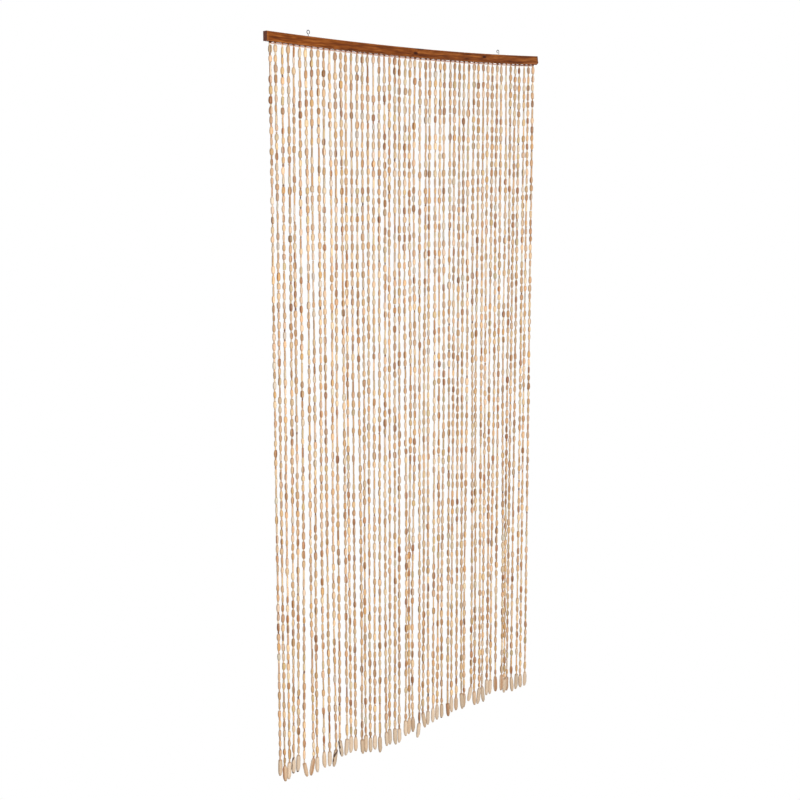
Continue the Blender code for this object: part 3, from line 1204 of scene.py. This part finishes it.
    def bead(self, stock: MeshStock, strand: Strand, draw: random.Random, tone: float, kind: BeadKind,
             start: float, length: float) -> None:
        """Adds one bead.

        Args:
            stock: Where it goes.
            strand: The line that it is threaded on.
            draw: The strand's own random numbers.
            tone: How light the whole strand is, about 1.
            kind: The sort of bead.
            start: How far down the strand it starts, in metres.
            length: How long it is, in metres.
        """
        size = self.sizes[kind]
        down = start / strand.run
        upper, lower = (strand.centre(far) + self.jitter(draw) for far in (start, start + length))
        way = (lower - upper) / np.linalg.norm(lower - upper)
        first, second = square_to(way, draw.uniform(0, math.tau))
        radius = draw.uniform(*size.radius) * np.interp(down, self.girth_places, self.girth)
        end_share = draw.uniform(*size.end_share)
        fullness = draw.uniform(*size.fullness)
        flat = draw.uniform(*size.flatness)
        stations = np.array(size.stations)
        place = np.interp(stations, (0.0, draw.uniform(*self.fattest), 1.0), (0.0, 0.5, 1.0))
        reach = radius * (end_share + (1 - end_share) * np.sin(np.pi * place) ** fullness)
        reach[[0, -1]] *= self.rim_share
        turn = round_turns(size.sides)
        lumps = np.ones(size.sides)
        for waves, most in enumerate(self.lumps, start=2):
            lumps += draw.uniform(0, most) * np.cos(waves * turn + draw.uniform(0, 6))
        across = reach[:, None] * lumps
        wide, thick, far = across * np.cos(turn), across * np.sin(turn) * flat, (stations * length)[:, None]
        off = draw.uniform(-1, 1) * size.bend + draw.uniform(0, 1) * self.hole_off * (kind is BeadKind.OVAL)
        aside = np.sin(np.pi * stations)[:, None] * off
        rings = upper + stacked(wide + aside, thick, far) @ np.array([first, second, way])
        fibre = stacked(wide, thick, far) / MM + grain_start(draw)
        skin = skin_strip(draw, turn, size.skin_chance, self.skin_half_width)
        stripe = np.zeros(size.sides)
        if draw.random() < self.stripe_chance:
            stripe[draw.randrange(size.sides)] = draw.uniform(*self.stripe_strength)
        stock.add(rings, fibre, skin, stripe, self.pick(draw, kind, tone, down), self.dimple)

    def built(self, wood: bpy.types.Material) -> None:
        """Builds the strands.

        Args:
            wood: The beads' finish.
        """
        for number, first in enumerate(range(0, len(self.strands), self.group), start=1):
            plans = []
            for strand in self.strands[first:first + self.group]:
                draw = random.Random(self.seed * 1000 + strand.index)
                plans.append((strand, draw, self.threaded(strand, draw)))
            stock = MeshStock(sum(len(beads) for _, _, beads in plans))
            for strand, draw, beads in plans:
                tone = draw.uniform(*self.strand_tone)
                for kind, start, length in beads:
                    self.bead(stock, strand, draw, tone, kind, start, length)
            stock.built(f"bead_strands_{number:02d}", "strands", [wood], "strand_wood")


@dataclass(frozen=True)
class BurnShadeMark:
    """A dark mark on one drop: mostly scorch marks, and on drops 3 and 4 painted shade down the left side. It
    gives where round it, how far down it, and how large.
    """

    turn: float
    down: float
    half_turn: float
    half_length: float
    strength: float = 1.0


@dataclass
class Drops:
    """The long wooden drop at the foot of each strand."""

    strands: list[Strand]
    width: float = 0.0132
    thickness: float = 0.0118
    length_share: tuple[float, float] = (0.98, 1.0)
    width_share: tuple[float, float] = (0.92, 1.0)
    thickness_share: tuple[float, float] = (0.90, 1.0)
    seed: int = 311
    sides: int = 18
    extra_rings: tuple[float, float, int] = (0.15, 0.85, 15)
    outline: tuple[tuple[float, float], ...] = (
        (0.0, 0.62), (0.008, 0.76), (0.045, 0.95), (0.10, 0.98), (0.26, 1.0), (0.42, 1.0), (0.58, 1.0),
        (0.70, 1.0), (0.79, 0.93), (0.87, 0.80), (0.94, 0.62), (0.985, 0.48), (1.0, 0.34),
    )
    shoulder: tuple[float, float] = (0.60, 1.0)
    shoulder_end: tuple[float, float] = (0.12, 0.34)
    tip_start: float = 0.70
    tip_share: tuple[float, float] = (0.26, 0.44)
    tip_aside: float = 0.28
    tip_curve: float = 1.3
    cut_slant: float = 14.0
    cut_depth: float = 0.12
    bow: float = 0.5 * MM
    facet_counts: tuple[int, ...] = (5, 6, 7)
    facet_wander: float = 0.15
    facet_side: float = 0.2
    facet_reach: tuple[float, float] = (0.91, 0.97)
    dimple: float = 0.0008
    shades: tuple[Shade, ...] = (
        Shade(linear(218, 194, 168), 0.42), Shade(linear(212, 184, 154), 0.32),
        Shade(linear(206, 174, 142), 0.16), Shade(linear(209, 185, 158), 0.10),
    )
    light_range: tuple[float, float] = (0.76, 1.0)
    skin_chance: float = 0.40
    skin_half_width: tuple[float, float] = (0.35, 0.9)
    end_start: float = 0.9
    end_mark: float = 0.45
    end_burnt: tuple[float, float] = (0.2, 1.0)
    burn_shade_marks: dict[int, tuple[BurnShadeMark, ...]] = field(default_factory=lambda: {
        # Drops 3 and 4: the marks that run the whole length of the left side are painted shade, as from light
        # falling from the front.
        3: (BurnShadeMark(170, 0.06, 70, 0.16), BurnShadeMark(190, 0.50, 50, 0.60, 0.9), BurnShadeMark(165, 0.94, 70, 0.12)),
        4: (BurnShadeMark(200, 0.50, 34, 0.60, 0.6), BurnShadeMark(140, 0.97, 80, 0.08)),
        10: (BurnShadeMark(75, 0.04, 40, 0.12), BurnShadeMark(100, 0.14, 40, 0.12), BurnShadeMark(130, 0.24, 40, 0.12),
             BurnShadeMark(160, 0.34, 40, 0.14), BurnShadeMark(180, 0.62, 50, 0.16)),
        11: (BurnShadeMark(175, 0.10, 60, 0.20), BurnShadeMark(150, 0.34, 40, 0.16), BurnShadeMark(180, 0.70, 50, 0.24)),
        32: (BurnShadeMark(130, 0.98, 80, 0.06),),
    })

    def facets(self, draw: random.Random, turn: np.ndarray) -> np.ndarray:
        """Works out a whittled section.

        Args:
            draw: The drop's own random numbers.
            turn: The angle of each point round it.

        Returns:
            How far each point is from the middle, as a share of the half width.
        """
        count = draw.choice(self.facet_counts)
        start = draw.uniform(0, math.tau)
        reach = np.ones(turn.shape)
        for number in range(count):
            facing = start + math.tau * (number + draw.uniform(-1, 1) * self.facet_wander) / count
            toward = np.cos(turn - facing)
            cut = draw.uniform(*self.facet_reach)
            flat = cut / np.maximum(toward, self.facet_side)
            reach = np.where(toward > self.facet_side, np.minimum(reach, flat), reach)
        return reach

    def marks(self, draw: random.Random, index: int, down: np.ndarray, turn: np.ndarray) -> np.ndarray:
        """Works out how dark a drop's marks are.

        Args:
            draw: The drop's own random numbers.
            index: The strand's number from the left.
            down: Each ring's share of the length.
            turn: The angle of each point round it.

        Returns:
            0 to 1, rings by sides: a little at the foot, the drop's own scorch marks, and painted shade down
                                    the left side of drops 3 and 4.
        """
        foot = np.clip((down - self.end_start) / (1 - self.end_start), 0, 1)[:, None]
        mark = self.end_mark * foot * np.ones(len(turn)) * draw.uniform(*self.end_burnt)
        for burn_shade_mark in self.burn_shade_marks.get(index, ()):
            aside = np.abs((np.degrees(turn) - burn_shade_mark.turn + 180) % 360 - 180) / burn_shade_mark.half_turn
            below = np.abs(down - burn_shade_mark.down) / burn_shade_mark.half_length
            near = 1 - np.hypot(aside, below[:, None])
            mark = np.maximum(mark, np.clip(near * 2, 0, 1) * burn_shade_mark.strength)
        return mark

    def drop(self, stock: MeshStock, strand: Strand) -> None:
        """Adds one drop.

        Args:
            stock: Where it goes.
            strand: The strand that it hangs on.
        """
        draw = random.Random(self.seed * 1000 + strand.index)
        length = strand.drop_length * draw.uniform(*self.length_share)
        turn = round_turns(self.sides)
        section = self.facets(draw, turn)
        places, shares = np.array(self.outline).T
        down = np.unique(np.r_[places, np.linspace(*self.extra_rings).round(3)])
        reach = np.interp(down, places, shares)
        half_wide = self.width / 2 * draw.uniform(*self.width_share)
        half_thick = self.thickness / 2 * draw.uniform(*self.thickness_share)
        blunt = np.clip((down - self.tip_start) / (1 - self.tip_start), 0, 1)
        reach = reach * (1 - blunt) + np.maximum(reach, draw.uniform(*self.tip_share)) * blunt
        narrow = draw.uniform(*self.shoulder)
        reach *= narrow + (1 - narrow) * np.clip(down / draw.uniform(*self.shoulder_end), 0, 1)
        wide = reach[:, None] * section * np.cos(turn) * half_wide
        thick = reach[:, None] * section * np.sin(turn) * half_thick
        aside = draw.uniform(-1, 1) * self.tip_aside * half_wide * blunt ** self.tip_curve
        slant = math.tan(math.radians(draw.uniform(-1, 1) * self.cut_slant))
        aside += draw.uniform(-1, 1) * self.bow * np.sin(np.pi * down)
        level = (down * length)[:, None] + slant * wide * np.clip(1 - down / self.cut_depth, 0, 1)[:, None]
        level = np.maximum(level, 0.0)
        way = strand.drop_way()
        first = np.array([math.cos(strand.lean), 0.0, math.sin(strand.lean)])
        axes = np.array([first, np.cross(way, first), way])
        rings = strand.centre(strand.bead_run) + stacked(wide + aside[:, None], thick, level) @ axes
        fibre = stacked(wide, thick, level) / MM + grain_start(draw)
        skin = skin_strip(draw, turn, self.skin_chance, self.skin_half_width)
        mark = self.marks(draw, strand.index, down, turn)
        tint = (*Shade.chosen(draw, self.shades, self.light_range), 1.0)
        stock.add(rings, fibre, skin, mark, tint, self.dimple)

    def built(self, wood: bpy.types.Material) -> None:
        """Builds all drops as one piece.

        Args:
            wood: The drops' finish.
        """
        stock = MeshStock(len(self.strands))
        for strand in self.strands:
            self.drop(stock, strand)
        stock.built("wooden_drops", "strands", [wood], "strand_wood", crease=22.0)


@dataclass
class Lacing:
    """The thread that holds the strands: the lace under the rail, the strands' own threads and the
    varnished pegs that hold them in their holes."""

    strands: list[Strand]
    rule: HangRule
    rail: Rail
    lace_seed: int = 77
    lace_steps: int = 15
    lace_hang: tuple[float, float] = (2.5 * MM, 3.1 * MM)
    lace_sag: float = 0.2 * MM
    lace_stray: float = 0.4 * MM
    lace_clear: tuple[float, float] = (0.6, 0.4)
    lace_grain: float = 500.0
    ply_offset: float = 0.00080
    ply_radius: float = 0.00120
    ply_twist: float = 650.0
    plies: int = 2
    lace_tint: Colour = linear(216, 188, 172)
    # The lace in the last few gaps at the right end gets a brown tint: painted shade of the rail on the lace.
    dark_gaps: int = 5
    lace_painted_shade: Colour = linear(150, 96, 70)
    strand_thread: Colour = linear(226, 200, 170)
    thread_radius: float = 0.00045
    thread_twist: float = 300.0
    thread_lobes: float = 0.2
    thread_steps: int = 48
    thread_end: float = 0.004
    thread_grain: float = 31.0
    cell_margin: tuple[float, float] = (0.01, 0.1)
    sides: int = 6
    peg_seed: int = 500
    peg_sides: int = 10
    peg_radius: float = 0.0029
    peg_length: float = 0.0048
    peg_girth: tuple[float, float] = (0.85, 1.15)
    peg_share: tuple[float, float] = (0.7, 1.0)
    peg_sunk: float = 0.0004
    peg_lean: float = 0.15
    peg_grain: float = 17.0
    peg_lumps: tuple[float, float] = (0.12, 0.06)
    peg_outline: tuple[tuple[float, float], ...] = (
        (0.0, 1.0), (0.25, 1.04), (0.6, 0.95), (0.88, 0.78), (1.0, 0.45),
    )

    def lace(self, thread: bpy.types.Material) -> None:
        """Builds the lace: a two-ply cord that hangs from each hole to the next.

        Args:
            thread: The lace's finish.
        """
        stock = MeshStock(self.plies * len(self.strands))
        draw = random.Random(self.lace_seed)
        shares = np.linspace(0, 1, self.lace_steps)
        swell = np.sin(np.pi * shares)
        for left, right in zip(self.strands, self.strands[1:]):
            after, before = self.lace_clear
            begin = left.root_x + self.peg_radius * after
            finish = right.root_x - self.peg_radius * before
            x = begin + (finish - begin) * shares
            hang = draw.uniform(*self.lace_hang) * np.clip(swell * 3.0, 0.2, 1.0) + self.lace_sag * swell
            y = np.full(x.shape, left.depth + draw.uniform(-1, 1) * self.lace_stray)
            path = np.stack([x, y, self.rail.foot(x) - self.rule.clearance - hang], axis=1)
            # Painted shade: the lace of the last few gaps at the right end is tinted brown.
            tint = self.lace_painted_shade if left.index >= len(self.strands) - 1 - self.dark_gaps else self.lace_tint
            rings, fibre = tube(path, self.ply_radius, self.sides, self.ply_twist, 0.0, self.ply_offset)
            for ply in (rings, 2 * path[:, None, :] - rings):
                stock.add(ply, fibre + draw.uniform(0, self.lace_grain), tint=tint)
        stock.built("lacing_cord", "strands", [thread])

    def threads(self, thread: bpy.types.Material) -> None:
        """Builds the thread inside each strand.

        Args:
            thread: Its finish.
        """
        stock = MeshStock(len(self.strands))
        high = 1 / len(self.strands)
        side, edge = self.cell_margin
        for strand in self.strands:
            stop = strand.bead_run + self.thread_end
            depths = np.linspace(-self.rule.lace_height, stop, self.thread_steps)
            path = np.array([strand.centre(max(far, 0.0)) - [0, 0, min(far, 0.0)] for far in depths])
            path[-1] = strand.centre(strand.bead_run) + strand.drop_way() * self.thread_end
            rings, fibre = tube(path, self.thread_radius, self.sides, self.thread_twist, self.thread_lobes)
            cell = (side, (strand.index + edge) * high, 1 - 2 * side, high * (1 - 2 * edge))
            stock.add(rings, fibre + strand.index * self.thread_grain, tint=self.strand_thread, cell=cell)
        stock.built("strand_threads", "strands", [thread])

    def pegs(self, wood: bpy.types.Material) -> None:
        """Builds the short varnished pegs above the strands.

        Args:
            wood: Their finish.
        """
        stock = MeshStock(len(self.strands))
        turn = round_turns(self.peg_sides)
        places, shares = np.array(self.peg_outline).T
        for strand in self.strands:
            draw = random.Random(self.peg_seed + strand.index)
            reach = self.peg_radius * draw.uniform(*self.peg_girth) * shares[:, None]
            down = (self.peg_length * draw.uniform(*self.peg_share) + self.peg_sunk) * places[:, None]
            top = np.array([strand.root_x, strand.depth, strand.rail_foot + self.peg_sunk])
            way = np.array([*(draw.uniform(-1, 1) * self.peg_lean for _ in range(2)), -1.0])
            way /= np.linalg.norm(way)
            lumps = np.ones(self.peg_sides)
            for waves, most in enumerate(self.peg_lumps, start=2):
                lumps += most * np.cos(waves * turn + draw.uniform(0, 6))
            wide, thick = reach * np.cos(turn) * lumps, reach * np.sin(turn) * lumps
            points = stacked(wide, thick, down)
            fibre = points / MM + strand.index * self.peg_grain
            stock.add(top + points @ np.array([*square_to(way), way]), fibre, 0.0)
        stock.built("root_pegs", "strands", [wood], "rail_wood")


@dataclass(frozen=True)
class Softbox:
    """A square soft light."""

    name: str
    place: tuple[float, float, float]
    size: float
    power: float


@dataclass
class Studio:
    """A white studio: camera, floor, soft lights and an even white surround."""

    eye: tuple[float, float, float] = (-2.4481, -2.7839, -0.3859)
    turn: float = 40.868
    dip: float = 8.052
    lens: float = 58.192
    sensor: float = 36.0
    shift_up: float = -0.0307
    sight: tuple[float, float] = (0.05, 1000.0)
    floor_drop: float = 0.025
    floor_size: float = 400.0
    surround: float = 0.30
    aim: tuple[float, float, float] = (0.0, 0.0, -0.9)
    lights: tuple[Softbox, ...] = (
        Softbox("key_front", (-2.2, -3.8, -0.2), 2.0, 172.0),
        Softbox("low_front", (-0.8, -4.2, -1.6), 2.0, 46.0),
        Softbox("fill_right", (3.6, -2.8, -0.4), 2.4, 36.0),
        Softbox("fill_back", (3.0, 3.6, 0.4), 2.8, 190.0),
    )

    def placed(self, name: str, data: bpy.types.ID) -> bpy.types.Object:
        """Puts a new object with the given data into the scene."""
        made = bpy.data.objects.new(name, data)
        bpy.context.scene.collection.objects.link(made)
        return made

    def camera(self) -> None:
        """Places the camera as the photograph has it: left of the curtain, below its rail."""
        data = bpy.data.cameras.new("camera")
        data.lens, data.sensor_width, data.shift_y = self.lens, self.sensor, self.shift_up
        data.clip_start, data.clip_end = self.sight
        holder = self.placed("camera", data)
        holder.location = self.eye
        holder.rotation_euler = (math.radians(90 - self.dip), 0.0, math.radians(-self.turn))
        bpy.context.scene.camera = holder

    def floor(self, low: float) -> None:
        """Lays the pale floor.

        Args:
            low: The height of the object's lowest point.
        """
        half = self.floor_size / 2
        mesh = bpy.data.meshes.new("floor")
        corners = [(-half, -half, 0), (half, -half, 0), (half, half, 0), (-half, half, 0)]
        mesh.from_pydata(corners, [], [(0, 1, 2, 3)])
        sheet = Sheet("pale_floor")
        sheet.put(Base_Color=(0.0, 0.0, 0.0, 1.0), Roughness=1.0, Specular_IOR_Level=0.0,
                  Emission_Color=WHITE, Emission_Strength=1.0)
        mesh.materials.append(sheet.owner)
        floor = self.placed("floor", mesh)
        floor.location.z = low - self.floor_drop
        floor.visible_diffuse = floor.visible_glossy = floor.visible_shadow = False
        floor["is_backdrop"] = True

    def light(self, box: Softbox) -> None:
        """Adds one soft light.

        Args:
            box: Its place, size in metres and power in watts.
        """
        data = bpy.data.lights.new(box.name, "AREA")
        data.shape, data.size, data.energy = "SQUARE", box.size, box.power
        lamp = self.placed(box.name, data)
        lamp.location = box.place
        lamp.rotation_euler = (Vector(self.aim) - Vector(box.place)).to_track_quat("-Z", "Y").to_euler()
        lamp.visible_camera = False

    def world(self) -> None:
        """Makes the surround: pure white to the eye, and a dimmer white as light."""
        tree = Tree(bpy.data.worlds.new("white_surround"))
        lit, seen = (tree.node("ShaderNodeBackground", sockets={"Color": WHITE, "Strength": strength})
                     for strength in (self.surround, 1.0))
        camera_ray = tree.node("ShaderNodeLightPath").outputs["Is Camera Ray"]
        parts = {0: camera_ray, 1: lit.outputs[0], 2: seen.outputs[0]}
        mix = tree.node("ShaderNodeMixShader", sockets=parts)
        tree.node("ShaderNodeOutputWorld", sockets={"Surface": mix.outputs[0]})
        bpy.context.scene.world = tree.owner

    def built(self, low: float) -> None:
        """Sets up the whole studio.

        Args:
            low: The height of the object's lowest point.
        """
        self.camera()
        self.floor(low)
        self.world()
        for box in self.lights:
            self.light(box)
        bpy.context.scene.view_settings.view_transform = "Standard"
        bpy.context.scene.view_settings.look = "None"


def main() -> None:
    """Builds the curtain piece by piece, then the studio round it."""
    logging.basicConfig(level=logging.INFO, format="%(message)s")
    solid_low, solid_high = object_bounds()
    rail, rule = Rail(), HangRule()
    strands = [Strand(index, rule, rail) for index in range(rule.strands)]
    varnish = VarnishedWood().dressed(rail.knots)
    steel = DullSteel().dressed()
    thread = CottonThread().dressed()
    eyes = (
        ScrewEye("wire_eye_left", "screw_eye_left", -0.363, 0.0045, 0.0116, last_turn=-63.0, bend=0.0030),
        ScrewEye("wire_eye_right", "screw_eye_right", 0.340, 0.0042, 0.0093, last_turn=262.0),
    )
    rail.built(varnish, SawnEnd().dressed())
    for eye in eyes:
        eye.built(rail, steel)
    BeadCurtain(strands).built(BareWood("bead_wood").dressed())
    Drops(strands).built(BareWood("drop_wood", skin=linear(212, 178, 148)).dressed())
    lacing = Lacing(strands, rule, rail)
    lacing.lace(thread)
    lacing.threads(thread)
    lacing.pegs(varnish)
    Studio().built(solid_low.z)


if __name__ == "__main__":
    main()
